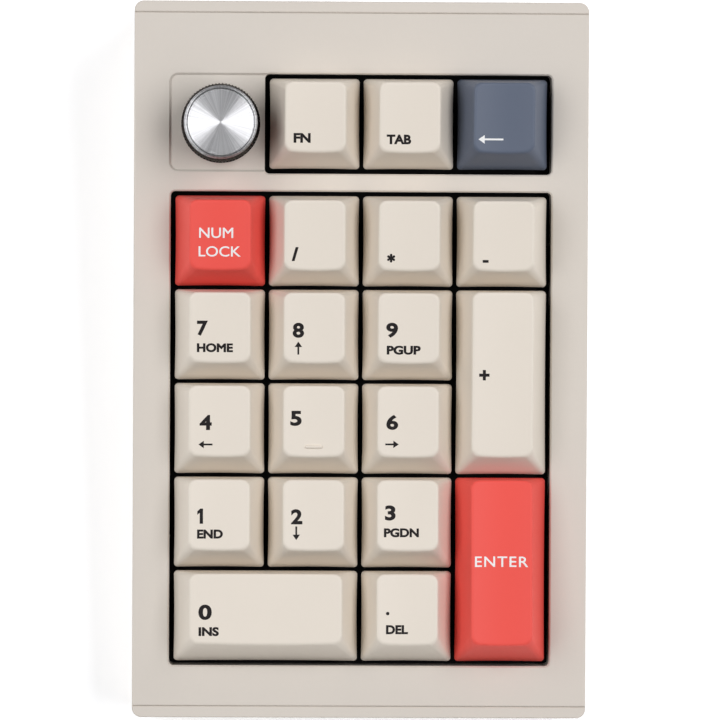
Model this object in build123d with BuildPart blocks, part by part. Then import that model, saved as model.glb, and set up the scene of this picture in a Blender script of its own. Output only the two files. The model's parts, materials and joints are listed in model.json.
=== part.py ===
"""Numeric keypad with a control knob: a two-shell case, a switch plate, twenty keys and an encoder."""

import os
from math import asin, atan, cos, degrees, radians, sin

from build123d import *

os.makedirs("parts", exist_ok=True)

# Fits between pieces, and how far a cut runs past the face it opens
CLOSE_FIT, RUNNING_FIT, OVERCUT = 0.1, 0.05, 1.0

# Case, in mm. The deck leans back by the typing angle, and u, v, w are its own right, rear and up.
TYPING_ANGLE = 6.0
CASE_WIDTH = 92.3
CASE_LENGTH = 145.6
FRONT_HEIGHT = 20.0
CORNER_RADIUS = 1.9
BOTTOM_Z = 1.2
FLOOR_THICKNESS = 2.2
DECK_THICKNESS = 2.6
SIDE_WALL = 2.2
END_WALL = 2.3
SEAM = 0.25
END_SEAM = 0.04
PARTING_W = -9.0
SKIRT_WALL = 1.2
SKIRT_W = -6.9
EDGE_BREAK = 0.3
END_EDGE_BREAK = 0.2

# Keys and knob
UNIT = 19.05
FRONT_ROW_V = -52.1
ROW_GAP_UNITS = 1.25
CAP_GAP = 0.6
OPENING_GAP = 0.875
OPENING_RADIUS = 0.95
TRAVEL = 4.0
KNOB_COLUMN = 0
POCKET_DEPTH, POCKET_BEVEL, POCKET_RADIUS = 0.5, 0.4, 1.5
POCKET_FRONT_INSET, POCKET_REAR_INSET = 0.75, 0.2

# Keycaps
RIM_W = -1.0
CAP_WALL = 1.3
CAP_BASE_RADIUS = 0.8
CAP_TOP_RADIUS = 1.75
CAP_ROOM_RADIUS = 0.5
CAP_CEILING = 1.2
SIDE_INSET, WIDE_SIDE_INSET = 3.1, 3.4
DISH_DEPTH = 0.7
POST_RADIUS = 2.75
POST_W = -0.6
CROSS_FIT, CROSS_SPARE, POST_BITE = 0.05, 0.15, 0.2
# height of the top's middle above the deck, lean towards the typist in degrees, front inset and rear inset
PROFILES = {
    "high": (8.6, 8.0, 3.6, 0.85),
    "middle": (7.6, 5.0, 4.0, 0.5),
    "home": (7.0, 1.0, 4.1, 0.3),
    "low": (7.4, -5.0, 4.25, 0.2),
    "tall": (7.4, 3.0, 4.2, 0.25),
}

# Stack of flat pieces below the deck
PLATE_W = -7.3
PLATE_THICKNESS = 1.5
PLATE_HALF_WIDTH = 38.5
PLATE_FRONT_V, PLATE_REAR_V = -66.0, 64.0
BOARD_W = -12.3
BOARD_THICKNESS = 1.6
BOARD_HALF_WIDTH = 38.2
BOARD_FRONT_V, BOARD_REAR_V = -65.5, 68.9

# Switches
SWITCH_TOP_W = -0.7
FLANGE_SIZE, FLANGE_THICKNESS = 15.6, 1.0
SWITCH_BLOCK = 13.9
SWITCH_CAVITY = (9.0, 7.4)
SWITCH_SHELL_W = -2.3
SWITCH_FLOOR_W = -11.5
SWITCH_POST_W, SWITCH_POST_RADIUS = -15.6, 2.0
STEM_TOP_W = 2.9
STEM_CROSS = ((4.0, 1.3), (1.1, 4.0))
HOUSING_SIZE, HOUSING_RADIUS, HOUSING_SLOPE = 14.4, 0.8, 1.9
STEM_HOLE, STEM_BLOCK, STEM_BLOCK_HEIGHT = (7.4, 6.0), (7.2, 5.7), 4.9
SLIDER_SKIRT, SLIDER_SKIRT_HEIGHT = (8.6, 7.0), 3.2
GUIDE_RADIUS, GUIDE_TOP_W, GUIDE_LENGTH = 1.5, -5.6, 4.8
GUIDE_BORE_RADIUS, GUIDE_FLOOR = 1.65, 0.6
SPRING_RADIUS, SPRING_WIRE, SPRING_TURNS, SPRING_LENGTH = 2.0, 0.18, 6, 5.2

# Stabilisers: s runs along the two-unit key and t across it
STABILISER_S = 11.938
WIRE_RADIUS = 0.7
WIRE_BAR_T, WIRE_BAR_W = -8.4, -10.3
WIRE_REST_ANGLE = degrees(asin(TRAVEL / -WIRE_BAR_T))
STABILISER_HALF = 3.6
STABILISER_TOP_W = -2.0
STABILISER_BORE, STABILISER_STEM, STABILISER_STEM_W = 5.9, 5.7, -8.0
STEM_STEP_W, STEM_STEP_DEPTH = -4.6, 2.5
WIRE_WINDOW, WIRE_WINDOW_T, WIRE_WINDOW_W, WIRE_WINDOW_HEIGHT = (1.9, 2.4), -0.4, -5.45, 2.1
NOSE_T, NOSE_DEPTH, NOSE_HEIGHT = -6.7, 6.2, 3.3
ARM_SLOT, ARM_SLOT_PLACE, ARM_SLOT_HEIGHT = (3.4, 7.6), (-0.7, -6.3), 6.1
BAR_GROOVE, BAR_GROOVE_DROP, BAR_GROOVE_LENGTH, WIRE_BEND = (1.1, 2.0), -1.2, 5.0, 1.5
CUT_OUT_NOSE, CUT_OUT_NOSE_T, CUT_OUT_SPARE = (5.2, 6.0), -7.0, 1.0

# Encoder and knob
ENCODER_SIZE, ENCODER_TOP_W = 11.8, -5.8
BUSH_RADIUS, BUSH_TOP_W, BUSH_CLEARANCE = 3.5, -0.9, 0.4
SHAFT_RADIUS, SHAFT_TOP_W, SHAFT_FLAT, FLAT_LENGTH = 3.0, 10.4, 1.5, 8.0
SHAFT_FLANGE_RADIUS, SHAFT_FLANGE_W, SHAFT_FLANGE_THICKNESS = 4.2, -8.6, 1.2
CHAMBER_RADIUS, CHAMBER_TOP_W, CHAMBER_DEPTH = 4.5, -8.4, 3.1
PLUNGER_RADIUS, PLUNGER_THICKNESS = 2.5, 1.0
KNOB_RADIUS, KNOB_BOTTOM_W, KNOB_GRIP_W, KNOB_RIM_W, KNOB_TOP_W = 8.0, 0.4, 8.4, 12.1, 12.4
KNOB_RIM_RADIUS, KNOB_BEVEL_RADIUS, KNOB_FACE_RADIUS, KNOB_GROOVE_DEPTH = 7.4, 6.95, 6.7, 0.2
KNOB_TEETH, TOOTH_DEPTH, KNOB_FIT = 72, 0.25, 0.04

# Fasteners, feet, pads and socket
BOSS_U, BOSS_V = 41.6, 58.0
TOP_BOSS_RADIUS, LOW_BOSS_RADIUS = 2.6, 3.0
SCREW_RADIUS, SCREW_HEAD_RADIUS, SCREW_SEAT_W, SCREW_TIP_W = 1.2, 2.3, -12.4, -4.2
SCREW_HEAD_HEIGHT, SCREW_DRIVE_RADIUS, SCREW_DRIVE_DEPTH, SCREW_FIT, SCREW_SPARE = 1.8, 1.0, 1.1, 0.2, 0.4
FOOT_RADIUS, FOOT_HEIGHT, FOOT_RECESS, FOOT_EDGE = 5.0, 1.8, 0.6, 0.4
FOOT_X, FOOT_FRONT_Y, FOOT_REAR_Y = 31.0, -58.0, 62.0
PAD_V, PAD_U, PAD_SIZE = 30.0, 41.5, (3.0, 10.0)
PAD_TOP_W, PAD_SHELF_W = -4.8, -11.0
PAD_SEAT = (4.0, 12.0)
PAD_SHELF, PAD_SHELF_SHIFT, PAD_SHELF_THICKNESS = (4.6, 12.0), 0.8, 2.0
PLATE_TAB, PLATE_TAB_SHIFT = (6.0, 12.0), -1.0
SOCKET_WIDTH, SOCKET_HEIGHT, SOCKET_DEPTH, SOCKET_MOUTH_V = 8.94, 3.26, 7.3, 72.4
SOCKET_WALL, SOCKET_BACK, SOCKET_FIT = 0.3, 0.9, 0.5
TONGUE_WIDTH, TONGUE_THICKNESS, TONGUE_LENGTH = 6.7, 0.7, 4.45
CHIP_SIZE, CHIP_THICKNESS, CHIP_EDGE = 7.0, 0.9, 0.15

# Places worked out from the above
lean = radians(TYPING_ANGLE)
deck_middle_z = FRONT_HEIGHT + CASE_LENGTH / 2 * sin(lean)
rear_depth = (FRONT_HEIGHT + CASE_LENGTH * sin(lean) - BOTTOM_Z) / cos(lean)
DECK = Plane(
    origin=(0, -rear_depth * sin(lean) / 2, deck_middle_z),
    x_dir=(1, 0, 0),
    z_dir=(0, -sin(lean), cos(lean)),
)
BELOW = rear_depth + 10
row_v = [FRONT_ROW_V + UNIT * step for step in (3 + 1 + ROW_GAP_UNITS, 4, 3, 2, 1, 0)]
column_u = [UNIT * (column - 1.5) for column in range(4)]
knob_u, knob_v = column_u[KNOB_COLUMN], row_v[0]

# name, column, row, columns wide, rows deep, profile
KEYS = [
    ("fn", 1, 0, 1, 1, "high"),
    ("tab", 2, 0, 1, 1, "high"),
    ("backspace", 3, 0, 1, 1, "high"),
    ("num_lock", 0, 1, 1, 1, "high"),
    ("divide", 1, 1, 1, 1, "high"),
    ("multiply", 2, 1, 1, 1, "high"),
    ("minus", 3, 1, 1, 1, "high"),
    ("7", 0, 2, 1, 1, "middle"),
    ("8", 1, 2, 1, 1, "middle"),
    ("9", 2, 2, 1, 1, "middle"),
    ("plus", 3, 2, 1, 2, "tall"),
    ("4", 0, 3, 1, 1, "home"),
    ("5", 1, 3, 1, 1, "home"),
    ("6", 2, 3, 1, 1, "home"),
    ("1", 0, 4, 1, 1, "low"),
    ("2", 1, 4, 1, 1, "low"),
    ("3", 2, 4, 1, 1, "low"),
    ("enter", 3, 4, 1, 2, "low"),
    ("0", 0, 5, 2, 1, "low"),
    ("point", 2, 5, 1, 1, "low"),
]


def deck_plane(u=0.0, v=0.0, w=0.0):
    """A plane parallel to the deck, with its origin at the point u, v, w."""
    return Plane(origin=DECK.from_local_coords(Vector(u, v, w)), x_dir=DECK.x_dir, z_dir=DECK.z_dir)


def leaning_plane(u, v, w, angle):
    """A plane whose rear edge is raised from the deck's direction by angle degrees."""
    turn = radians(angle)
    normal = DECK.z_dir * cos(turn) - DECK.y_dir * sin(turn)
    return Plane(origin=DECK.from_local_coords(Vector(u, v, w)), x_dir=DECK.x_dir, z_dir=normal)


def key_plane(key, w=0.0):
    """A plane at a key's middle: x along its stabiliser wire, which is u unless the key is two rows deep."""
    name, column, row, wide, deep, profile = key
    u = column_u[column] + (wide - 1) * UNIT / 2
    v = row_v[row] - (deep - 1) * UNIT / 2
    x_dir = DECK.x_dir if deep == 1 else DECK.y_dir * -1
    return Plane(origin=DECK.from_local_coords(Vector(u, v, w)), x_dir=x_dir, z_dir=DECK.z_dir)


def key_middle(key):
    """The u and v of a key's middle."""
    middle = DECK.to_local_coords(key_plane(key).origin)
    return middle.X, middle.Y


def stem_places(key):
    """Where along the key its stems are: one at the middle, and one at each stabiliser of a two-unit key."""
    return [0] if key[3] * key[4] == 1 else [-STABILISER_S, 0, STABILISER_S]


def finish(builder, label):
    """Labels a finished piece and writes it."""
    builder.part.label = label
    export_step(builder.part, f"parts/{label}.step")


# Openings in the deck: the block of keys, and the first row to the right of the knob
block_left = column_u[0] - UNIT / 2 + CAP_GAP / 2 - OPENING_GAP
block_right = -block_left
block_front = row_v[5] - UNIT / 2 + CAP_GAP / 2 - OPENING_GAP
block_rear = row_v[1] + UNIT / 2 - CAP_GAP / 2 + OPENING_GAP
row_left = column_u[1] - UNIT / 2 + CAP_GAP / 2 - OPENING_GAP
row_front = row_v[0] - UNIT / 2 + CAP_GAP / 2 - OPENING_GAP
row_rear = row_v[0] + UNIT / 2 - CAP_GAP / 2 + OPENING_GAP
OPENINGS = [
    (block_left, block_right, block_front, block_rear),
    (row_left, block_right, row_front, row_rear),
]
BOSSES = [(side * BOSS_U, v) for side in (-1, 1) for v in (-BOSS_V, 0, BOSS_V)]
PADS = [(side * PAD_U, end * PAD_V) for side in (-1, 1) for end in (-1, 1)]
top_length = CASE_LENGTH - 2 * (END_WALL + END_SEAM)


def opening_sketch(opening, w, grow=0.0, radius=OPENING_RADIUS):
    """A rounded rectangle over one opening, grown outwards by grow."""
    left, right, front, rear = opening
    with BuildSketch(deck_plane((left + right) / 2, (front + rear) / 2, w)) as outline:
        RectangleRounded(right - left + 2 * grow, rear - front + 2 * grow, radius)
    return outline.sketch


# Upper case
with BuildPart() as top_shell:
    with BuildSketch(deck_plane()):
        Rectangle(CASE_WIDTH, top_length)
    extrude(amount=PARTING_W)
    fillet(top_shell.faces().sort_by(Axis(DECK.origin, DECK.z_dir))[-1].edges(), EDGE_BREAK)
    with BuildSketch(deck_plane(w=-DECK_THICKNESS)):
        Rectangle(CASE_WIDTH - 2 * SIDE_WALL, top_length - 2 * SIDE_WALL)
    extrude(amount=-BELOW, mode=Mode.SUBTRACT)
    for opening in OPENINGS:
        skirt = opening_sketch(opening, -DECK_THICKNESS, SKIRT_WALL, OPENING_RADIUS + SKIRT_WALL)
        extrude(skirt, amount=SKIRT_W + DECK_THICKNESS)
    for boss_u, boss_v in BOSSES:
        with BuildSketch(deck_plane(boss_u, boss_v, -DECK_THICKNESS)):
            Circle(TOP_BOSS_RADIUS)
        extrude(amount=PARTING_W + DECK_THICKNESS)
        with BuildSketch(deck_plane(boss_u, boss_v, SCREW_TIP_W + SCREW_SPARE)):
            Circle(SCREW_RADIUS)
        extrude(amount=-BELOW, mode=Mode.SUBTRACT)
    for pad_u, pad_v in PADS:
        with BuildSketch(deck_plane(pad_u, pad_v, -DECK_THICKNESS)):
            Rectangle(*PAD_SEAT)
        extrude(amount=PAD_TOP_W + DECK_THICKNESS)
    for opening in OPENINGS:
        extrude(opening_sketch(opening, 0), amount=-BELOW, mode=Mode.SUBTRACT)
        rim = opening_sketch(opening, 0, EDGE_BREAK, OPENING_RADIUS + EDGE_BREAK)
        extrude(rim, amount=-EDGE_BREAK, taper=45, mode=Mode.SUBTRACT)
    pocket = (
        block_left,
        row_left + 2 * POCKET_RADIUS,
        row_front + POCKET_FRONT_INSET,
        row_rear - POCKET_REAR_INSET,
    )
    extrude(opening_sketch(pocket, 0, radius=POCKET_RADIUS), amount=-POCKET_DEPTH, mode=Mode.SUBTRACT)
    rim = opening_sketch(pocket, 0, POCKET_BEVEL, POCKET_RADIUS + POCKET_BEVEL)
    extrude(rim, amount=-POCKET_BEVEL, taper=45, mode=Mode.SUBTRACT)
    with BuildSketch(deck_plane(knob_u, knob_v)):
        Circle(BUSH_RADIUS + BUSH_CLEARANCE)
    extrude(amount=-BELOW, mode=Mode.SUBTRACT)
finish(top_shell, "top_shell")

# Lower case: a tray with full-height end walls. The space inside it stops at the level floor.
with BuildPart() as tray_space:
    with BuildSketch(deck_plane(w=OVERCUT)):
        Rectangle(CASE_WIDTH - 2 * SIDE_WALL, CASE_LENGTH - 2 * END_WALL)
    extrude(amount=-BELOW - OVERCUT)
    split(bisect_by=Plane.XY.offset(BOTTOM_Z + FLOOR_THICKNESS))

with BuildPart() as low_bosses:
    for boss_u, boss_v in BOSSES:
        with BuildSketch(deck_plane(boss_u, boss_v, PARTING_W - SEAM)):
            Circle(LOW_BOSS_RADIUS)
        extrude(amount=-BELOW)
    split(bisect_by=Plane.XY.offset(BOTTOM_Z))

with BuildPart() as bottom_shell:
    with BuildSketch(deck_plane()):
        RectangleRounded(CASE_WIDTH, CASE_LENGTH, CORNER_RADIUS)
    extrude(amount=-BELOW)
    split(bisect_by=Plane.XY.offset(BOTTOM_Z))
    chamfer(bottom_shell.faces().sort_by(Axis.Z)[0].edges(), 2 * EDGE_BREAK)
    add(tray_space.part, mode=Mode.SUBTRACT)
    with BuildSketch(deck_plane()):
        Rectangle(CASE_WIDTH + OVERCUT, CASE_LENGTH - 2 * END_WALL)
    extrude(amount=PARTING_W - SEAM, mode=Mode.SUBTRACT)
    end_tops = bottom_shell.faces().group_by(Axis(DECK.origin, DECK.z_dir))[-1]
    chamfer(end_tops.edges(), END_EDGE_BREAK)
    add(low_bosses.part)
    for boss_u, boss_v in BOSSES:
        with BuildSketch(deck_plane(boss_u, boss_v)):
            Circle(SCREW_RADIUS + SCREW_FIT)
        extrude(amount=-BELOW, mode=Mode.SUBTRACT)
        with BuildSketch(deck_plane(boss_u, boss_v, SCREW_SEAT_W)):
            Circle(SCREW_HEAD_RADIUS + SCREW_FIT)
        extrude(amount=-BELOW, mode=Mode.SUBTRACT)
    for pad_u, pad_v in PADS:
        with BuildSketch(deck_plane(pad_u * (1 + PAD_SHELF_SHIFT / PAD_U), pad_v, PAD_SHELF_W)):
            Rectangle(*PAD_SHELF)
        extrude(amount=-PAD_SHELF_THICKNESS)
    with BuildSketch(Plane(origin=DECK.from_local_coords(Vector(0, CASE_LENGTH / 2, BOARD_W + SOCKET_HEIGHT / 2)),
                           x_dir=DECK.x_dir, z_dir=DECK.y_dir)):
        SlotOverall(SOCKET_WIDTH + SOCKET_FIT, SOCKET_HEIGHT + SOCKET_FIT)
    extrude(amount=-END_WALL, mode=Mode.SUBTRACT)
    with BuildSketch(Plane.XY.offset(BOTTOM_Z)):
        with Locations(*[(side * FOOT_X, y) for side in (-1, 1) for y in (FOOT_FRONT_Y, FOOT_REAR_Y)]):
            Circle(FOOT_RADIUS + CLOSE_FIT)
    extrude(amount=FOOT_RECESS, mode=Mode.SUBTRACT)
finish(bottom_shell, "bottom_shell")

# Switch plate and circuit board
TWO_UNIT_KEYS = [key for key in KEYS if key[3] * key[4] == 2]
with BuildPart() as switch_plate:
    with BuildSketch(deck_plane(0, (PLATE_FRONT_V + PLATE_REAR_V) / 2, PLATE_W)):
        Rectangle(2 * PLATE_HALF_WIDTH, PLATE_REAR_V - PLATE_FRONT_V)
    extrude(amount=-PLATE_THICKNESS)
    for pad_u, pad_v in PADS:
        with BuildSketch(deck_plane(pad_u * (1 + PLATE_TAB_SHIFT / PAD_U), pad_v, PLATE_W)):
            Rectangle(*PLATE_TAB)
        extrude(amount=-PLATE_THICKNESS)
    for key in KEYS:
        with BuildSketch(key_plane(key, PLATE_W)):
            Rectangle(SWITCH_BLOCK + CLOSE_FIT, SWITCH_BLOCK + CLOSE_FIT)
            if key in TWO_UNIT_KEYS:
                with Locations((-STABILISER_S, 0), (STABILISER_S, 0)):
                    Rectangle(2 * (STABILISER_HALF + CLOSE_FIT), 2 * STABILISER_HALF + CUT_OUT_SPARE)
                with Locations(*[(side * STABILISER_S, CUT_OUT_NOSE_T) for side in (-1, 1)]):
                    Rectangle(*CUT_OUT_NOSE)
        extrude(amount=-PLATE_THICKNESS, mode=Mode.SUBTRACT)
    with BuildSketch(deck_plane(knob_u, knob_v, PLATE_W)):
        Rectangle(ENCODER_SIZE + CUT_OUT_SPARE, ENCODER_SIZE + CUT_OUT_SPARE)
    extrude(amount=-PLATE_THICKNESS, mode=Mode.SUBTRACT)
finish(switch_plate, "switch_plate")

with BuildPart() as circuit_board:
    with BuildSketch(deck_plane(0, (BOARD_FRONT_V + BOARD_REAR_V) / 2, BOARD_W)):
        Rectangle(2 * BOARD_HALF_WIDTH, BOARD_REAR_V - BOARD_FRONT_V)
    extrude(amount=-BOARD_THICKNESS)
    for key in KEYS:
        with BuildSketch(key_plane(key, BOARD_W)):
            Circle(SWITCH_POST_RADIUS + CLOSE_FIT)
        extrude(amount=-BOARD_THICKNESS, mode=Mode.SUBTRACT)
finish(circuit_board, "circuit_board")

with BuildPart() as controller_chip:
    with BuildSketch(deck_plane(0, row_v[0] - UNIT / 2, BOARD_W - BOARD_THICKNESS)):
        Rectangle(CHIP_SIZE, CHIP_SIZE)
    extrude(amount=-CHIP_THICKNESS)
    chamfer(controller_chip.faces().sort_by(Axis(DECK.origin, DECK.z_dir))[0].edges(), CHIP_EDGE)
finish(controller_chip, "controller_chip")

# Switches: one housing pair, spring and slider, repeated at every key
with BuildPart() as switch_bottom_housings:
    for key in KEYS:
        with BuildSketch(key_plane(key, PLATE_W)):
            Rectangle(FLANGE_SIZE, FLANGE_SIZE)
        extrude(amount=FLANGE_THICKNESS)
        with BuildSketch(key_plane(key, PLATE_W)):
            Rectangle(SWITCH_BLOCK, SWITCH_BLOCK)
        extrude(amount=BOARD_W - PLATE_W)
        with BuildSketch(key_plane(key, BOARD_W)):
            Circle(SWITCH_POST_RADIUS)
        extrude(amount=SWITCH_POST_W - BOARD_W)
        with BuildSketch(key_plane(key, PLATE_W + FLANGE_THICKNESS)):
            Rectangle(*SWITCH_CAVITY)
        extrude(amount=SWITCH_FLOOR_W - PLATE_W - FLANGE_THICKNESS, mode=Mode.SUBTRACT)
        with BuildSketch(key_plane(key, SWITCH_FLOOR_W)):
            Circle(GUIDE_BORE_RADIUS)
        extrude(amount=SWITCH_POST_W + GUIDE_FLOOR - SWITCH_FLOOR_W, mode=Mode.SUBTRACT)
finish(switch_bottom_housings, "switch_bottom_housings")

housing_height = SWITCH_TOP_W - PLATE_W - FLANGE_THICKNESS
with BuildPart() as switch_top_housings:
    for key in KEYS:
        with BuildSketch(key_plane(key, PLATE_W + FLANGE_THICKNESS)):
            RectangleRounded(HOUSING_SIZE, HOUSING_SIZE, HOUSING_RADIUS)
        extrude(amount=housing_height, taper=degrees(atan(HOUSING_SLOPE / housing_height)))
        with BuildSketch(key_plane(key, PLATE_W + FLANGE_THICKNESS)):
            Rectangle(*SWITCH_CAVITY)
        extrude(amount=SWITCH_SHELL_W - PLATE_W - FLANGE_THICKNESS, mode=Mode.SUBTRACT)
        with BuildSketch(key_plane(key, SWITCH_SHELL_W)):
            Rectangle(*STEM_HOLE)
        extrude(amount=SWITCH_TOP_W - SWITCH_SHELL_W, mode=Mode.SUBTRACT)
finish(switch_top_housings, "switch_top_housings")

with BuildPart() as one_spring:
    with BuildLine() as coil:
        Helix(SPRING_LENGTH / SPRING_TURNS, SPRING_LENGTH, SPRING_RADIUS)
    with BuildSketch(Plane(origin=coil.line @ 0, z_dir=coil.line % 0)):
        Circle(SPRING_WIRE)
    sweep(path=coil.line)
with BuildPart() as switch_springs:
    for key in KEYS:
        add(one_spring.part.moved(key_plane(key, SWITCH_FLOOR_W + SPRING_WIRE + CLOSE_FIT).location))
finish(switch_springs, "switch_springs")


def add_cross(plane, length, fit=0.0, mode=Mode.ADD):
    """The cross of a stem, or with a fit and Mode.SUBTRACT the socket it goes into."""
    with BuildSketch(plane) as cross:
        for width, depth in STEM_CROSS:
            Rectangle(width + 2 * fit, depth + 2 * fit)
    extrude(cross.sketch, amount=length, mode=mode)


for key in KEYS:
    plane = key_plane(key)
    with BuildPart() as slider:
        with BuildSketch(plane.offset(SWITCH_TOP_W)):
            Rectangle(*STEM_BLOCK)
        extrude(amount=-STEM_BLOCK_HEIGHT)
        with BuildSketch(key_plane(key, SWITCH_SHELL_W - CLOSE_FIT)):
            Rectangle(*SLIDER_SKIRT)
        extrude(amount=-SLIDER_SKIRT_HEIGHT)
        with BuildSketch(key_plane(key, GUIDE_TOP_W)):
            Circle(GUIDE_RADIUS)
        extrude(amount=-GUIDE_LENGTH)
        add_cross(key_plane(key, SWITCH_TOP_W), STEM_TOP_W - SWITCH_TOP_W)
        for place in stem_places(key):
            if place == 0:
                continue
            stem = Plane(origin=plane.from_local_coords(Vector(place, 0, 0)), x_dir=plane.x_dir, z_dir=plane.z_dir)
            with BuildSketch(stem.offset(SWITCH_TOP_W)):
                Rectangle(STABILISER_STEM, STABILISER_STEM)
            extrude(amount=STABILISER_STEM_W - SWITCH_TOP_W)
            with BuildSketch(stem.offset(STEM_STEP_W)):
                with Locations((0, -STABILISER_STEM / 2)):
                    Rectangle(STABILISER_STEM, STEM_STEP_DEPTH)
            extrude(amount=STABILISER_STEM_W - STEM_STEP_W, mode=Mode.SUBTRACT)
            with BuildSketch(stem.offset(WIRE_WINDOW_W)):
                with Locations((0, WIRE_WINDOW_T)):
                    Rectangle(*WIRE_WINDOW)
            extrude(amount=-WIRE_WINDOW_HEIGHT, mode=Mode.SUBTRACT)
            add_cross(stem.offset(SWITCH_TOP_W), STEM_TOP_W - SWITCH_TOP_W)
    finish(slider, "slider_" + key[0])

# Stabilisers
with BuildPart() as stabiliser_housings:
    for key in TWO_UNIT_KEYS:
        plane = key_plane(key)
        for side in (-1, 1):
            place = Plane(origin=plane.from_local_coords(Vector(side * STABILISER_S, 0, 0)),
                          x_dir=plane.x_dir * side, z_dir=plane.z_dir)
            with BuildSketch(place.offset(BOARD_W)):
                Rectangle(2 * STABILISER_HALF, 2 * STABILISER_HALF)
            extrude(amount=STABILISER_TOP_W - BOARD_W)
            with BuildSketch(place.offset(BOARD_W)):
                with Locations((0, side * NOSE_T)):
                    Rectangle(2 * STABILISER_HALF, NOSE_DEPTH)
            extrude(amount=NOSE_HEIGHT)
            with BuildSketch(place.offset(BOARD_W)):
                Rectangle(STABILISER_BORE, STABILISER_BORE)
            extrude(amount=STABILISER_TOP_W - BOARD_W, mode=Mode.SUBTRACT)
            with BuildSketch(place.offset(BOARD_W)):
                with Locations((ARM_SLOT_PLACE[0], side * ARM_SLOT_PLACE[1])):
                    Rectangle(*ARM_SLOT)
            extrude(amount=ARM_SLOT_HEIGHT, mode=Mode.SUBTRACT)
            bar_origin = place.from_local_coords(Vector(-BAR_GROOVE_LENGTH, side * WIRE_BAR_T, WIRE_BAR_W))
            with BuildSketch(Plane(origin=bar_origin, x_dir=place.y_dir, z_dir=place.x_dir)):
                Circle(WIRE_RADIUS + RUNNING_FIT)
                with Locations((0, BAR_GROOVE_DROP)):
                    Rectangle(*BAR_GROOVE)
            extrude(amount=BAR_GROOVE_LENGTH, mode=Mode.SUBTRACT)
finish(stabiliser_housings, "stabiliser_housings")

arm_reach = -WIRE_BAR_T
arm_rise = radians(WIRE_REST_ANGLE)
for key in TWO_UNIT_KEYS:
    plane = key_plane(key)
    tip_t, tip_w = WIRE_BAR_T + arm_reach * cos(arm_rise), WIRE_BAR_W + arm_reach * sin(arm_rise)
    corners = [
        plane.from_local_coords(Vector(side * STABILISER_S, t, w))
        for side, t, w in (
            (-1, tip_t, tip_w), (-1, WIRE_BAR_T, WIRE_BAR_W), (1, WIRE_BAR_T, WIRE_BAR_W), (1, tip_t, tip_w))
    ]
    with BuildPart() as stabiliser_wire:
        with BuildLine() as route:
            FilletPolyline(*corners, radius=WIRE_BEND)
        with BuildSketch(Plane(origin=route.line @ 0, z_dir=route.line % 0)):
            Circle(WIRE_RADIUS)
        sweep(path=route.line)
    finish(stabiliser_wire, key[0].replace("0", "zero") + "_stabiliser_wire")

# Keycaps
for key in KEYS:
    name, column, row, wide, deep, profile = key
    height, top_lean, front_inset, rear_inset = PROFILES[profile]
    u, v = key_middle(key)
    cap_width, cap_depth = wide * UNIT - CAP_GAP, deep * UNIT - CAP_GAP
    side_inset = SIDE_INSET if wide == 1 else WIDE_SIDE_INSET
    top_width, top_depth = cap_width - 2 * side_inset, cap_depth - front_inset - rear_inset
    top = leaning_plane(u, v + (front_inset - rear_inset) / 2, height, top_lean)
    ceiling_w = height - abs(sin(radians(top_lean))) * top_depth / 2 - DISH_DEPTH - CAP_CEILING
    rise = (ceiling_w - RIM_W) / (height - RIM_W)
    room_shift = (front_inset - rear_inset) / 2 * rise
    dish_radius = top_width**2 / 8 / DISH_DEPTH + DISH_DEPTH / 2
    with BuildPart() as keycap:
        with BuildSketch(deck_plane(u, v, RIM_W)):
            RectangleRounded(cap_width, cap_depth, CAP_BASE_RADIUS)
        with BuildSketch(top):
            RectangleRounded(top_width, top_depth, CAP_TOP_RADIUS)
        loft(ruled=True)
        with BuildSketch(Plane(origin=top.origin, x_dir=top.x_dir, z_dir=-top.y_dir)):
            with Locations((0, dish_radius - DISH_DEPTH)):
                Circle(dish_radius)
        extrude(amount=cap_depth, both=True, mode=Mode.SUBTRACT)
        with BuildSketch(deck_plane(u, v, RIM_W)):
            RectangleRounded(cap_width - 2 * CAP_WALL, cap_depth - 2 * CAP_WALL, CAP_ROOM_RADIUS)
        with BuildSketch(deck_plane(u, v + room_shift, ceiling_w)):
            RectangleRounded(
                cap_width - 2 * (side_inset * rise + CAP_WALL),
                cap_depth - (front_inset + rear_inset) * rise - 2 * CAP_WALL,
                CAP_ROOM_RADIUS,
            )
        loft(ruled=True, mode=Mode.SUBTRACT)
        for place in stem_places(key):
            stem = key_plane(key)
            stem = Plane(origin=stem.from_local_coords(Vector(place, 0, POST_W)), x_dir=stem.x_dir, z_dir=stem.z_dir)
            with BuildSketch(stem):
                Circle(POST_RADIUS)
            extrude(amount=ceiling_w + POST_BITE - POST_W)
            add_cross(stem, STEM_TOP_W + CROSS_SPARE - POST_W, CROSS_FIT, Mode.SUBTRACT)
    finish(keycap, "keycap_" + name)

# Encoder: a body with a chamber for the shaft's flange and the plunger below it
with BuildPart() as encoder_body:
    with BuildSketch(deck_plane(knob_u, knob_v, BOARD_W)):
        Rectangle(ENCODER_SIZE, ENCODER_SIZE)
    extrude(amount=ENCODER_TOP_W - BOARD_W)
    with BuildSketch(deck_plane(knob_u, knob_v, ENCODER_TOP_W)):
        Circle(BUSH_RADIUS)
    extrude(amount=BUSH_TOP_W - ENCODER_TOP_W)
    with BuildSketch(deck_plane(knob_u, knob_v, BUSH_TOP_W)):
        Circle(SHAFT_RADIUS + RUNNING_FIT)
    extrude(amount=CHAMBER_TOP_W - BUSH_TOP_W, mode=Mode.SUBTRACT)
    with BuildSketch(deck_plane(knob_u, knob_v, CHAMBER_TOP_W)):
        Circle(CHAMBER_RADIUS)
    extrude(amount=-CHAMBER_DEPTH, mode=Mode.SUBTRACT)
finish(encoder_body, "encoder_body")

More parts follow.
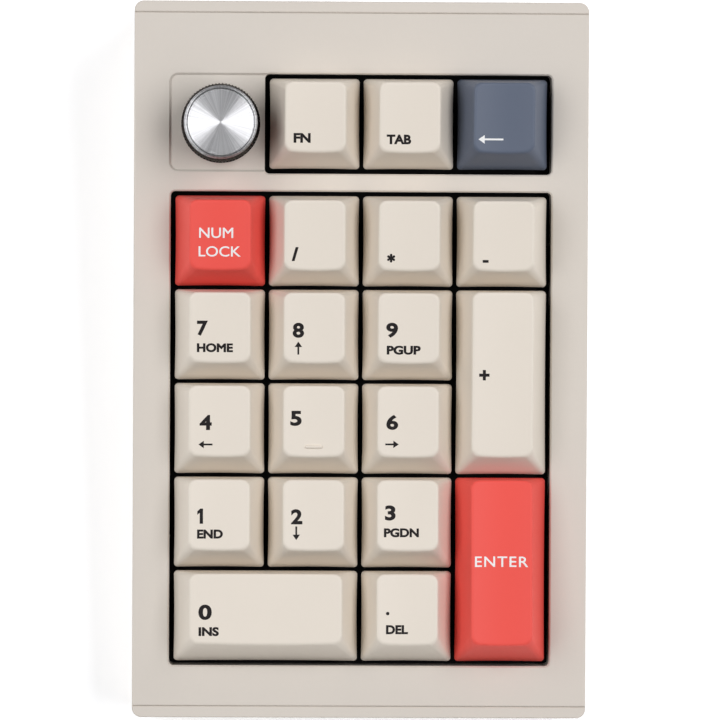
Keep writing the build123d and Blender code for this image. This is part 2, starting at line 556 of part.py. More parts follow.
with BuildPart() as encoder_shaft:
    with BuildSketch(deck_plane(knob_u, knob_v, SHAFT_FLANGE_W)):
        Circle(SHAFT_FLANGE_RADIUS)
    extrude(amount=-SHAFT_FLANGE_THICKNESS)
    with BuildSketch(deck_plane(knob_u, knob_v, SHAFT_FLANGE_W)):
        Circle(SHAFT_RADIUS)
    extrude(amount=SHAFT_TOP_W - SHAFT_FLANGE_W)
    with BuildSketch(deck_plane(knob_u, knob_v, SHAFT_TOP_W)):
        with Locations((0, SHAFT_FLAT + SHAFT_RADIUS)):
            Rectangle(3 * SHAFT_RADIUS, 2 * SHAFT_RADIUS)
    extrude(amount=-FLAT_LENGTH, mode=Mode.SUBTRACT)
finish(encoder_shaft, "encoder_shaft")

with BuildPart() as encoder_plunger:
    with BuildSketch(deck_plane(knob_u, knob_v, SHAFT_FLANGE_W - SHAFT_FLANGE_THICKNESS)):
        Circle(PLUNGER_RADIUS)
    extrude(amount=-PLUNGER_THICKNESS)
finish(encoder_plunger, "encoder_plunger")

# Knob: a grooved grip that narrows to a bevelled rim, and a flat turned face inside a thin groove
with BuildPart() as knob:
    with BuildSketch(deck_plane(knob_u, knob_v, KNOB_BOTTOM_W)):
        Circle(KNOB_RADIUS - TOOTH_DEPTH)
    extrude(amount=KNOB_GRIP_W - KNOB_BOTTOM_W)
    with BuildSketch(deck_plane(knob_u, knob_v, KNOB_BOTTOM_W + 2 * TOOTH_DEPTH)):
        Circle(KNOB_RADIUS)
        with PolarLocations(KNOB_RADIUS, KNOB_TEETH):
            RegularPolygon(TOOTH_DEPTH, 3, rotation=180, mode=Mode.SUBTRACT)
    extrude(amount=KNOB_GRIP_W - KNOB_BOTTOM_W - 2 * TOOTH_DEPTH)
    for low_w, high_w, low_radius, high_radius in (
        (KNOB_GRIP_W, KNOB_RIM_W, KNOB_RADIUS - TOOTH_DEPTH, KNOB_RIM_RADIUS),
        (KNOB_RIM_W, KNOB_TOP_W, KNOB_RIM_RADIUS, KNOB_BEVEL_RADIUS),
    ):
        with BuildSketch(deck_plane(knob_u, knob_v, low_w)):
            Circle(low_radius)
        extrude(amount=high_w - low_w, taper=degrees(atan((low_radius - high_radius) / (high_w - low_w))))
    with BuildSketch(deck_plane(knob_u, knob_v, KNOB_TOP_W)):
        Circle(KNOB_BEVEL_RADIUS - KNOB_FIT)
        Circle(KNOB_FACE_RADIUS, mode=Mode.SUBTRACT)
    extrude(amount=-KNOB_GROOVE_DEPTH, mode=Mode.SUBTRACT)
    with BuildSketch(deck_plane(knob_u, knob_v, KNOB_BOTTOM_W)):
        Circle(SHAFT_RADIUS + KNOB_FIT)
        with Locations((0, SHAFT_FLAT + SHAFT_RADIUS + KNOB_FIT)):
            Rectangle(3 * SHAFT_RADIUS, 2 * SHAFT_RADIUS, mode=Mode.SUBTRACT)
    extrude(amount=SHAFT_TOP_W - KNOB_BOTTOM_W, mode=Mode.SUBTRACT)
    with BuildSketch(deck_plane(knob_u, knob_v, KNOB_BOTTOM_W)):
        Circle(SHAFT_RADIUS + KNOB_FIT)
    extrude(amount=SHAFT_TOP_W - FLAT_LENGTH + KNOB_FIT - KNOB_BOTTOM_W, mode=Mode.SUBTRACT)
finish(knob, "knob")

# Socket for the detachable cord: a shell closed at the back, with a tongue
mouth = Plane(
    origin=DECK.from_local_coords(Vector(0, SOCKET_MOUTH_V, BOARD_W + SOCKET_HEIGHT / 2)),
    x_dir=DECK.x_dir,
    z_dir=DECK.y_dir,
)
with BuildPart() as usb_c_receptacle:
    with BuildSketch(mouth):
        SlotOverall(SOCKET_WIDTH, SOCKET_HEIGHT)
    extrude(amount=-SOCKET_DEPTH)
    with BuildSketch(mouth):
        SlotOverall(SOCKET_WIDTH - 2 * SOCKET_WALL, SOCKET_HEIGHT - 2 * SOCKET_WALL)
    extrude(amount=-SOCKET_DEPTH + SOCKET_BACK, mode=Mode.SUBTRACT)
    with BuildSketch(mouth.offset(-SOCKET_DEPTH + SOCKET_BACK)):
        Rectangle(TONGUE_WIDTH, TONGUE_THICKNESS)
    extrude(amount=TONGUE_LENGTH)
finish(usb_c_receptacle, "usb_c_receptacle")

# Screws, feet and pads
with BuildPart() as case_screws:
    for boss_u, boss_v in BOSSES:
        with BuildSketch(deck_plane(boss_u, boss_v, SCREW_SEAT_W)):
            Circle(SCREW_HEAD_RADIUS)
        extrude(amount=-SCREW_HEAD_HEIGHT)
        with BuildSketch(deck_plane(boss_u, boss_v, SCREW_SEAT_W)):
            Circle(SCREW_RADIUS)
        extrude(amount=SCREW_TIP_W - SCREW_SEAT_W)
        with BuildSketch(deck_plane(boss_u, boss_v, SCREW_SEAT_W - SCREW_HEAD_HEIGHT)):
            RegularPolygon(SCREW_DRIVE_RADIUS, 6)
        extrude(amount=SCREW_DRIVE_DEPTH, mode=Mode.SUBTRACT)
finish(case_screws, "case_screws")

with BuildPart() as rubber_feet:
    with BuildSketch(Plane.XY):
        with Locations(*[(side * FOOT_X, y) for side in (-1, 1) for y in (FOOT_FRONT_Y, FOOT_REAR_Y)]):
            Circle(FOOT_RADIUS)
    extrude(amount=FOOT_HEIGHT)
    chamfer(rubber_feet.faces().group_by(Axis.Z)[0].edges(), FOOT_EDGE)
finish(rubber_feet, "rubber_feet")

with BuildPart() as gasket_pads:
    for pad_u, pad_v in PADS:
        with BuildSketch(deck_plane(pad_u, pad_v, PLATE_W)):
            Rectangle(*PAD_SIZE)
        extrude(amount=PAD_TOP_W - PLATE_W)
        with BuildSketch(deck_plane(pad_u, pad_v, PLATE_W - PLATE_THICKNESS)):
            Rectangle(*PAD_SIZE)
        extrude(amount=PAD_SHELF_W - PLATE_W + PLATE_THICKNESS)
finish(gasket_pads, "gasket_pads")
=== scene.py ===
"""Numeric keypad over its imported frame: dished keycaps with printed legends, a knurled knob, finishes."""

import json
from math import cos, pi, radians, sin, tan

import bmesh
import bpy
from mathutils import Matrix, Vector


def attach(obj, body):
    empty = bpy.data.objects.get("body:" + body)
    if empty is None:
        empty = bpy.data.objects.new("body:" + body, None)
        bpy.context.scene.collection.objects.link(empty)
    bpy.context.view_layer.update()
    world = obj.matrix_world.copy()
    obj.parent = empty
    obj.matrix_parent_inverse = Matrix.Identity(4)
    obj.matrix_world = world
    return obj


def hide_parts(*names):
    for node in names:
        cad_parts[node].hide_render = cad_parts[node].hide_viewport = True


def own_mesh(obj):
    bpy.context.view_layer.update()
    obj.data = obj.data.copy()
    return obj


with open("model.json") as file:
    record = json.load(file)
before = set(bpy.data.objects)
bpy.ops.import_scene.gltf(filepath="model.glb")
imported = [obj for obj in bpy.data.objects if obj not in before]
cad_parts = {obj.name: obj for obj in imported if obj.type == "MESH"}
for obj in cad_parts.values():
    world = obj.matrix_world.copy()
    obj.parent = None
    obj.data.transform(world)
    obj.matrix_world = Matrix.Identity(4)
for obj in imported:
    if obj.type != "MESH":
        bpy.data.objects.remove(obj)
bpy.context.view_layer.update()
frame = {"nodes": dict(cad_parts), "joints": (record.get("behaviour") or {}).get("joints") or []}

# Sizes in metres, as in the design
MM = 0.001
UNIT = 19.05 * MM
CAP_GAP = 0.6 * MM
RIM_W = -1.0 * MM
SIDE_INSET = 3.1 * MM
WIDE_SIDE_INSET = 3.4 * MM
DISH_DEPTH = 0.7 * MM
CAP_WALL = 1.3 * MM
CAP_WAIST = 0.12 * MM
CAP_BULGE = 0.3 * MM
BASE_RADIUS = 0.8 * MM
TOP_RADIUS = 1.8 * MM
EDGE_ROUND = 0.45 * MM
LEAST_CORNER = 0.3 * MM
# height of the top's middle above the deck, its lean in degrees, and its front and rear insets
PROFILES = {
    "high": (8.6, 8.0, 3.6, 0.85),
    "middle": (7.6, 5.0, 4.0, 0.5),
    "home": (7.0, 1.0, 4.1, 0.3),
    "low": (7.4, -5.0, 4.25, 0.2),
    "tall": (7.4, 3.0, 4.2, 0.25),
}
KNOB_RADIUS = 8.0 * MM
KNOB_BOTTOM_W = 0.4 * MM
KNOB_TOP_W = 12.4 * MM
KNOB_BORE_RADIUS = 3.04 * MM
KNOB_BORE_TOP_W = 10.4 * MM
KNOB_TEETH = 72
TOOTH_DEPTH = 0.28 * MM
POINTS_A_TOOTH = 6
SPRING_RADIUS = 2.0 * MM
SPRING_WIRE = 0.18 * MM
SPRING_TURNS = 6.0
SPRING_LENGTH = 5.2 * MM
SPRING_FOOT_W = -11.22 * MM
SPRING_POINTS_A_TURN = 20
SPRING_WIRE_SIDES = 8
INK_PROUD = 0.02 * MM
INK_SUNK = 0.05 * MM
# points that lie closer than this become one
MERGE_DISTANCE = 0.002 * MM
WELD_DISTANCE = 0.001 * MM
# heights of the printed marks, in mm
DIGIT_HEIGHT = 3.05
WORD_HEIGHT = 1.82
CONTROL_HEIGHT = 2.1
# how far the letters' outlines are thickened, in the font's own units
DIGIT_WEIGHT = 0.038
WORD_WEIGHT = 0.046
CONTROL_WEIGHT = 0.01
SLASH_WEIGHT = 0.045
ENTER_SPACING = 1.12
# the homing bar on the middle key
BAR_RADIUS = 0.32 * MM
BAR_HALF_LENGTH = 1.45 * MM
BAR_FORWARD = 3.42 * MM
BAR_RISE = 1.1

# The deck's own right, rear and up directions, from the knob's pivot, which lies on the deck's face
knob_joint = next(joint for joint in frame["joints"] if joint["name"] == "knob_turn")
DECK_UP = Vector(knob_joint["axis"]).normalized()
DECK_RIGHT = Vector((1, 0, 0))
DECK_REAR = DECK_UP.cross(DECK_RIGHT)
KNOB_PIVOT = Vector(knob_joint["pos_m"])
ROW_GAP = 1.25 * UNIT
ROW_V = [0] + [-(ROW_GAP + row * UNIT) for row in range(5)]

# name: column, row, columns wide, rows deep, profile, colour
KEYS = {
    "fn": (1, 0, 1, 1, "high", "cream"),
    "tab": (2, 0, 1, 1, "high", "cream"),
    "backspace": (3, 0, 1, 1, "high", "slate"),
    "num_lock": (0, 1, 1, 1, "high", "red"),
    "divide": (1, 1, 1, 1, "high", "cream"),
    "multiply": (2, 1, 1, 1, "high", "cream"),
    "minus": (3, 1, 1, 1, "high", "cream"),
    "7": (0, 2, 1, 1, "middle", "cream"),
    "8": (1, 2, 1, 1, "middle", "cream"),
    "9": (2, 2, 1, 1, "middle", "cream"),
    "plus": (3, 2, 1, 2, "tall", "cream"),
    "4": (0, 3, 1, 1, "home", "cream"),
    "5": (1, 3, 1, 1, "home", "cream"),
    "6": (2, 3, 1, 1, "home", "cream"),
    "1": (0, 4, 1, 1, "low", "cream"),
    "2": (1, 4, 1, 1, "low", "cream"),
    "3": (2, 4, 1, 1, "low", "cream"),
    "enter": (3, 4, 1, 2, "low", "red"),
    "0": (0, 5, 2, 1, "low", "cream"),
    "point": (2, 5, 1, 1, "low", "cream"),
}

# Marks on each cap: text or shape, then in mm its height, its width or None for the font's own,
# its left edge and its middle, both from the cap's middle
LEGENDS = {
    "fn": [("FN", 1.95, 3.43, -4.36, -2.98)],
    "tab": [("TAB", 1.95, 4.95, -4.65, -3.18)],
    "backspace": [("arrow_left", 1.75, 5.05, -5.2, -3.08)],
    "num_lock": [
        ("NUM", CONTROL_HEIGHT, 6.86, -4.25, 1.62),
        ("LOCK", CONTROL_HEIGHT, 8.5, -4.35, -2.12),
    ],
    "divide": [("/", 2.83, None, -4.64, -2.58)],
    "multiply": [("*", 1.8, None, -4.45, -3.31)],
    "minus": [("dash", 0.55, 1.2, -4.2, -3.87)],
    "7": [("7", DIGIT_HEIGHT, 2.2, -4.61, 1.44), ("HOME", WORD_HEIGHT, 7.27, -4.61, -2.5)],
    "8": [("8", DIGIT_HEIGHT, 2.3, -4.36, 1.1), ("arrow_up", 2.62, 1.5, -3.95, -2.5)],
    "9": [("9", DIGIT_HEIGHT, 2.4, -4.55, 1.2), ("PGUP", WORD_HEIGHT, 6.86, -4.4, -2.83)],
    "plus": [("cross", 2.1, 2.1, -4.76, 1.73)],
    "4": [("4", DIGIT_HEIGHT, 2.45, -4.01, 1.45), ("arrow_left", 1.5, 2.83, -4.21, -3.0)],
    "5": [("5", DIGIT_HEIGHT, 2.3, -4.76, 2.36)],
    "6": [("6", DIGIT_HEIGHT, 2.4, -4.4, 1.63), ("arrow_right", 1.5, 2.73, -4.6, -2.83)],
    "1": [("one", DIGIT_HEIGHT, 1.15, -4.38, 1.6), ("END", WORD_HEIGHT, 5.2, -4.41, -2.0)],
    "2": [("2", DIGIT_HEIGHT, 2.3, -4.52, 1.55), ("arrow_down", 2.73, 1.5, -4.2, -1.77)],
    "3": [("3", DIGIT_HEIGHT, 2.15, -4.6, 2.38), ("PGDN", WORD_HEIGHT, 7.07, -4.8, -1.6)],
    "enter": [("ENTER", CONTROL_HEIGHT, 10.8, -5.42, 2.13)],
    "0": [("0", 3.1, 2.7, -13.6, 1.25), ("INS", WORD_HEIGHT, 4.1, -13.55, -2.63)],
    "point": [("dot", 0.7, 0.7, -4.3, 1.1), ("DEL", WORD_HEIGHT, 4.44, -4.28, -2.14)],
}


def deck_point(u, v, w=0.0):
    """A point of the deck: u right of its middle line, v to the rear of the knob's row, w above it."""
    return KNOB_PIVOT + DECK_RIGHT * (u - KNOB_PIVOT.x) + DECK_REAR * v + DECK_UP * w


def deck_matrix(u, v, w=0.0):
    """Puts a mesh made flat, with z up, onto the deck."""
    turn = Matrix((DECK_RIGHT, DECK_REAR, DECK_UP)).transposed().to_4x4()
    return Matrix.Translation(deck_point(u, v, w)) @ turn


def cap_form(key):
    """The sizes of one keycap, in metres: its middle on the deck, base, top and lean."""
    column, row, wide, deep, profile, _ = KEYS[key]
    height, lean, front_inset, rear_inset = PROFILES[profile]
    return {
        "u": UNIT * (column - 1.5 + (wide - 1) / 2),
        "v": ROW_V[row] - (deep - 1) * UNIT / 2,
        "Width": wide * UNIT - CAP_GAP,
        "Depth": deep * UNIT - CAP_GAP,
        "Top Width": wide * UNIT - CAP_GAP - 2 * (SIDE_INSET if wide == 1 else WIDE_SIDE_INSET),
        "Top Depth": (deep * UNIT - CAP_GAP - (front_inset + rear_inset) * MM) * cos(radians(lean)),
        "Top Shift": (front_inset - rear_inset) / 2 * MM,
        "Height": height * MM - RIM_W,
        "Slope": tan(radians(lean)),
        "Dish": DISH_DEPTH,
    }


def top_height(form, x, y):
    """The height of a cap's dished top above its rim."""
    reach = min(1.0, (2 * x / form["Top Width"]) ** 2)
    return form["Height"] + form["Slope"] * (y - form["Top Shift"]) - form["Dish"] * (1 - reach)


# Node trees


class Field:
    """A value in a node tree. Arithmetic on it adds Math nodes."""

    def __init__(self, tree, socket):
        self.tree = tree
        self.socket = socket

    def math(self, operation, *others):
        node = self.tree.nodes.new("ShaderNodeMath")
        node.operation = operation
        for place, value in enumerate((self, *others)):
            if isinstance(value, Field):
                self.tree.links.new(value.socket, node.inputs[place])
            else:
                node.inputs[place].default_value = value
        return Field(self.tree, node.outputs[0])

    def __add__(self, other):
        return self.math("ADD", other)

    def __sub__(self, other):
        return self.math("SUBTRACT", other)

    def __mul__(self, other):
        return self.math("MULTIPLY", other)

    def __truediv__(self, other):
        return self.math("DIVIDE", other)

    def clamp(self):
        return self.math("MAXIMUM", 0.0).math("MINIMUM", 1.0)

    def mix(self, start, end):
        """start where this is 0, end where it is 1."""
        return self * (end - start) + start


def linked(tree, kind, links=(), **settings):
    """Adds a node, sets its properties, and links {input: socket} pairs."""
    node = tree.nodes.new(kind)
    for name, value in settings.items():
        setattr(node, name, value)
    for name, value in dict(links).items():
        if isinstance(value, Field):
            value = value.socket
        if isinstance(value, bpy.types.NodeSocket):
            tree.links.new(value, node.inputs[name])
        else:
            node.inputs[name].default_value = value
    return node


def stations_curve(tree, place, values):
    """A field that runs through values at even steps as place goes from 0 to 1."""
    node = linked(tree, "ShaderNodeFloatCurve", {"Value": place})
    curve = node.mapping.curves[0]
    last = len(values) - 1
    for step, value in enumerate(values[1:-1], 1):
        curve.points.new(step / last, value)
    curve.points[0].location = (0, values[0])
    curve.points[-1].location = (1, values[-1])
    for point in curve.points:
        point.handle_type = "VECTOR"
    node.mapping.update()
    return Field(tree, node.outputs[0])


def form_tree(name, sizes):
    """A geometry tree with named size inputs and a material, and the group's own in and out nodes."""
    tree = bpy.data.node_groups.new(name, "GeometryNodeTree")
    tree.interface.new_socket("Geometry", in_out="OUTPUT", socket_type="NodeSocketGeometry")
    for size in sizes:
        tree.interface.new_socket(size, in_out="INPUT", socket_type="NodeSocketFloat")
    tree.interface.new_socket("Around", in_out="INPUT", socket_type="NodeSocketInt")
    tree.interface.new_socket("Levels", in_out="INPUT", socket_type="NodeSocketInt")
    tree.interface.new_socket("Finish", in_out="INPUT", socket_type="NodeSocketMaterial")
    start = tree.nodes.new("NodeGroupInput")
    sheet = linked(
        tree,
        "GeometryNodeMeshGrid",
        {
            "Size X": 1.0,
            "Size Y": 1.0,
            "Vertices X": start.outputs["Around"],
            "Vertices Y": start.outputs["Levels"],
        },
    )
    point = tree.nodes.new("GeometryNodeInputPosition")
    place = linked(tree, "ShaderNodeSeparateXYZ", {0: point.outputs[0]})
    turn = Field(tree, place.outputs["X"]) + 0.5
    level = Field(tree, place.outputs["Y"]) + 0.5
    values = {size: Field(tree, start.outputs[size]) for size in sizes}
    return tree, sheet, turn, level, values, start


def close_form(tree, sheet, x, y, z, start):
    """Moves the sheet's points to x, y, z, joins its seam and poles, and gives it its finish."""
    spot = linked(tree, "ShaderNodeCombineXYZ", {"X": x, "Y": y, "Z": z})
    moved = linked(
        tree, "GeometryNodeSetPosition", {"Geometry": sheet.outputs["Mesh"], "Position": spot.outputs[0]}
    )
    joined = linked(
        tree, "GeometryNodeMergeByDistance", {"Geometry": moved.outputs[0], "Distance": MERGE_DISTANCE}
    )
    smooth = linked(tree, "GeometryNodeSetShadeSmooth", {"Geometry": joined.outputs[0]})
    real = linked(tree, "GeometryNodeRealizeInstances", {"Geometry": smooth.outputs[0]})
    dressed = linked(
        tree, "GeometryNodeSetMaterial", {"Geometry": real.outputs[0], "Material": start.outputs["Finish"]}
    )
    end = tree.nodes.new("NodeGroupOutput")
    tree.links.new(dressed.outputs[0], end.inputs[0])
    return tree


def put_in_scene(name, data):
    """An object in the scene for a mesh, a curve, a light or a camera."""
    holder = bpy.data.objects.new(name, data)
    bpy.context.scene.collection.objects.link(holder)
    return holder


def grown(tree, name, settings, place):
    """Runs a geometry tree once, and returns its result as a plain closed mesh object put at place."""
    seed = put_in_scene(name + "_seed", bpy.data.meshes.new(name + "_seed"))
    modifier = seed.modifiers.new("form", "NODES")
    modifier.node_group = tree
    for item in tree.interface.items_tree:
        if item.in_out == "INPUT" and item.name in settings:
            modifier[item.identifier] = settings[item.name]
    graph = bpy.context.evaluated_depsgraph_get()
    mesh = bpy.data.meshes.new_from_object(seed.evaluated_get(graph))
    seed.modifiers.clear()
    bpy.data.objects.remove(seed)
    return placed(name, mesh, place)


def placed(name, mesh, place):
    """A mesh object with its place in its mesh and its faces pointing outwards."""
    build = bmesh.new()
    build.from_mesh(mesh)
    bmesh.ops.remove_doubles(build, verts=build.verts, dist=WELD_DISTANCE)
    bmesh.ops.recalc_face_normals(build, faces=build.faces)
    build.to_mesh(mesh)
    build.free()
    mesh.transform(place)
    mesh.name = name
    return put_in_scene(name, mesh)


# Keycap form: stations from the middle of the ceiling, down the inside, round the rim, up and over the top.
# A rise is a share of the cap's height, from its rim to its top.

CEILING_RISE = 0.7
CEILING_SCALES = (0, 0.5, 1)
INNER_RISES = (0.4, 0.03)
OUTER_RISES = (0.2, 0.4, 0.6, 0.8)
# rise and inset round the rim's outer edge
RIM_EDGE = ((0, 0.2 * MM), (0.006, 0.06 * MM), (0.025, 0))
RIM_INNER_EDGE = 0.2 * MM
# the rounded edge of the top: the rise that it takes, and its steps
EDGE_RISE = 0.055
EDGE_STEPS = 6
# rings over the top's face, which lie closer together towards its edge
FACE_RINGS = 13
RING_SPREAD = 1.3


def cap_stations():
    """(rise, inset in metres, scale) at each level of a keycap."""
    stations = [(CEILING_RISE, CAP_WALL, scale) for scale in CEILING_SCALES]
    stations += [(rise, CAP_WALL, 1) for rise in INNER_RISES]
    stations.append((0, CAP_WALL - RIM_INNER_EDGE, 1))
    stations += [(rise, inset, 1) for rise, inset in RIM_EDGE]
    stations += [(rise, 0, 1) for rise in OUTER_RISES]
    for step in range(EDGE_STEPS + 1):
        angle = radians(90 * step / EDGE_STEPS)
        stations.append((1 - EDGE_RISE * (1 - sin(angle)), EDGE_ROUND * (1 - cos(angle)), 1))
    stations += [(1, EDGE_ROUND, 1 - (ring / FACE_RINGS) ** RING_SPREAD) for ring in range(1, FACE_RINGS)]
    stations.append((1, EDGE_ROUND, 0))
    return stations


CAP_SIZES = ["Width", "Depth", "Top Width", "Top Depth", "Top Shift", "Height", "Slope", "Dish"]
CAP_AROUND = 120
# the share of a quarter's points that lies along each of its two straight sides
STRAIGHT_SHARE = 0.35
BEND_SHARE = 1 - 2 * STRAIGHT_SHARE
# stations pass through a curve that holds values from 0 to 1, so insets are a share of this
INSET_UNIT = 2 * MM
# how squarely the walls' bowing keeps to its own side
BOW_POWER = 4.0


def build_keycap_tree():
    """A rounded base drawn up into a smaller dished top that leans, with a hollow underside."""
    tree, sheet, turn, level, size, start = form_tree("keycap_form", CAP_SIZES)
    stations = cap_stations()
    rise = stations_curve(tree, level, [station[0] for station in stations])
    inset = stations_curve(tree, level, [station[1] / INSET_UNIT for station in stations]) * INSET_UNIT
    scale = stations_curve(tree, level, [station[2] for station in stations])
    quarter = (turn * 4.0).math("FLOOR").math("MINIMUM", 3.0)
    along = turn * 4.0 - quarter
    odd = quarter.math("MODULO", 2.0)
    along = odd.mix(along, along * -1.0 + 1.0)
    left = (quarter - 1.5).math("ABSOLUTE").math("LESS_THAN", 1.0)
    front = quarter.math("GREATER_THAN", 1.5)
    right_sign = left * -2.0 + 1.0
    rear_sign = front * -2.0 + 1.0
    half_width = rise.mix(size["Width"] / 2.0, size["Top Width"] / 2.0) - inset
    half_depth = rise.mix(size["Depth"] / 2.0, size["Top Depth"] / 2.0) - inset
    corner = (rise * (TOP_RADIUS - BASE_RADIUS) + BASE_RADIUS - inset).math("MAXIMUM", LEAST_CORNER)
    side = (along / STRAIGHT_SHARE).clamp()
    bend = ((along - STRAIGHT_SHARE) / BEND_SHARE).clamp() * (pi / 2)
    end = ((along - (STRAIGHT_SHARE + BEND_SHARE)) / STRAIGHT_SHARE).clamp()
    x = (half_width - corner) * (end * -1.0 + 1.0) + corner * bend.math("COSINE")
    y = (half_depth - corner) * side + corner * bend.math("SINE")
    bow = rise * (CAP_BULGE + CAP_WAIST) - CAP_WAIST
    across, deep = x / half_width, y / half_depth
    flat_front = deep.math("POWER", BOW_POWER) * (across * across * -1.0 + 1.0) * front
    flat_side = across.math("POWER", BOW_POWER) * (deep * deep * -1.0 + 1.0) * (rise * -1.0 + 1.0)
    flat_side = flat_side * -CAP_WAIST
    x = (x + flat_side) * right_sign * scale
    y = (y + flat_front * bow) * rear_sign * scale
    reach = (x * 2.0 / size["Top Width"]).math("POWER", 2.0).math("MINIMUM", 1.0)
    peak = size["Height"] + size["Slope"] * y - size["Dish"] * (reach * -1.0 + 1.0)
    return close_form(tree, sheet, x, y + size["Top Shift"] * rise, peak * rise, start)


def build_spring_tree():
    """A round wire coiled upwards from z = 0."""
    tree = bpy.data.node_groups.new("spring_form", "GeometryNodeTree")
    tree.interface.new_socket("Geometry", in_out="OUTPUT", socket_type="NodeSocketGeometry")
    for size in ("Radius", "Wire", "Length", "Turns"):
        tree.interface.new_socket(size, in_out="INPUT", socket_type="NodeSocketFloat")
    tree.interface.new_socket("Finish", in_out="INPUT", socket_type="NodeSocketMaterial")
    start = tree.nodes.new("NodeGroupInput")
    size = start.outputs
    coil = linked(
        tree,
        "GeometryNodeCurveSpiral",
        {
            "Resolution": SPRING_POINTS_A_TURN, "Rotations": size["Turns"], "Start Radius": size["Radius"],
            "End Radius": size["Radius"], "Height": size["Length"],
        },
    )
    wire = linked(
        tree, "GeometryNodeCurvePrimitiveCircle", {"Resolution": SPRING_WIRE_SIDES, "Radius": size["Wire"]}
    )
    tube = linked(
        tree,
        "GeometryNodeCurveToMesh",
        {"Curve": coil.outputs[0], "Profile Curve": wire.outputs[0], "Fill Caps": True},
    )
    real = linked(tree, "GeometryNodeRealizeInstances", {"Geometry": tube.outputs[0]})
    dressed = linked(
        tree, "GeometryNodeSetMaterial", {"Geometry": real.outputs[0], "Material": size["Finish"]}
    )
    end = tree.nodes.new("NodeGroupOutput")
    tree.links.new(dressed.outputs[0], end.inputs[0])
    return tree


def build_knob_tree():
    """A turned form with its axis along z: stations of radius and height, and teeth round its grip."""
    sizes = ["Radius", "Height", "Teeth", "Tooth Depth"]
    tree, sheet, turn, level, size, start = form_tree("knob_form", sizes)
    radii, heights, grips = zip(*knob_stations())
    radius = stations_curve(tree, level, radii) * size["Radius"]
    height = stations_curve(tree, level, heights) * size["Height"]
    grip = stations_curve(tree, level, grips)
    tooth = ((turn * size["Teeth"]).math("FRACT") - 0.5).math("ABSOLUTE") * 2.0
    out = radius - tooth * grip * size["Tooth Depth"]
    angle = turn * (2 * pi)
    return close_form(tree, sheet, out * angle.math("COSINE"), out * angle.math("SINE"), height, start)


def knob_stations():
    """(radius, height, tooth depth), each from 0 to 1, at each level of the knob, from its bore outwards."""
    bore = KNOB_BORE_RADIUS / KNOB_RADIUS
    bore_top = (KNOB_BORE_TOP_W - KNOB_BOTTOM_W) / (KNOB_TOP_W - KNOB_BOTTOM_W)
    inside = [(bore * share, bore_top, 0) for share in (0, 0.6, 1)]
    mouth = [(bore, 0.02, 0), (bore + 0.02, 0, 0)]
    foot = [(0.93, 0, 0), (0.955, 0.005, 0), (0.967, 0.018, 0), (0.967, 0.04, 0)]
    step = [(0.972, 0.05, 0), (1, 0.058, 0)]
    grip = [(1, 0.066, 1), (1, 0.3, 1), (1, 0.5, 1), (1, 0.64, 1)]
    cone = [(0.985, 0.73, 1), (0.957, 0.86, 1), (0.937, 0.95, 1)]
    bevel = [(0.93, 0.962, 0), (0.925, 0.97, 0), (0.92, 0.977, 0), (0.873, 0.997, 0)]
    border = [(0.868, 1, 0), (0.863, 1, 0)]
    groove = [(0.858, 0.996, 0), (0.856, 0.983, 0), (0.842, 0.983, 0), (0.84, 0.996, 0)]
    face = [(0.836, 1, 0), (0.82, 1, 0), (0.5, 1, 0), (0.2, 1, 0), (0, 1, 0)]
    return inside + mouth + foot + step + grip + cone + bevel + border + groove + face


# Shader groups


def shader_group(name, inputs, outputs):
    """An empty shader group with named float inputs and outputs, and its in and out nodes."""
    tree = bpy.data.node_groups.new(name, "ShaderNodeTree")
    for label, default in inputs.items():
        kind = "NodeSocketColor" if isinstance(default, tuple) else "NodeSocketFloat"
        socket = tree.interface.new_socket(label, in_out="INPUT", socket_type=kind)
        socket.default_value = default
    for label, kind in outputs.items():
        tree.interface.new_socket(label, in_out="OUTPUT", socket_type=kind)
    return tree, tree.nodes.new("NodeGroupInput"), tree.nodes.new("NodeGroupOutput")


def object_place(tree):
    """Object coordinates."""
    return tree.nodes.new("ShaderNodeTexCoord").outputs["Object"]


def noise(tree, scale, detail=2.0, rough=0.5):
    """Noise over the object, with a scale in features per metre."""
    return linked(
        tree,
        "ShaderNodeTexNoise",
        {"Vector": object_place(tree), "Scale": scale, "Detail": detail, "Roughness": rough},
    )


# shares of a grain's height that its pits and its slower unevenness make, and how much slower that is
PIT_SHARE = 0.7
BROAD_SHARE = 0.3
BROAD_PACE = 0.12
# a colour's slow drift and fine flecks: their shares, and the flecks to a metre
SLOW_SHARE = 1.4
FLECK_SHARE = 0.5
FLECK_PITCH = 1400.0


def build_grain_group():
    """Spark-eroded mould texture: fine rounded pits with a slower unevenness under them."""
    tree, start, end = shader_group(
        "moulded_grain", {"Pitch": 2500.0, "Depth": 1.0}, {"Height": "NodeSocketFloat"}
    )
    pits = Field(tree, noise(tree, start.outputs["Pitch"], 3.0, 0.65).outputs["Fac"])
    broad_scale = Field(tree, start.outputs["Pitch"]) * BROAD_PACE
    broad = Field(tree, noise(tree, broad_scale.socket, 1.0).outputs["Fac"])
    height = (pits * PIT_SHARE + broad * BROAD_SHARE) * Field(tree, start.outputs["Depth"])
    tree.links.new(height.socket, end.inputs["Height"])
    return tree


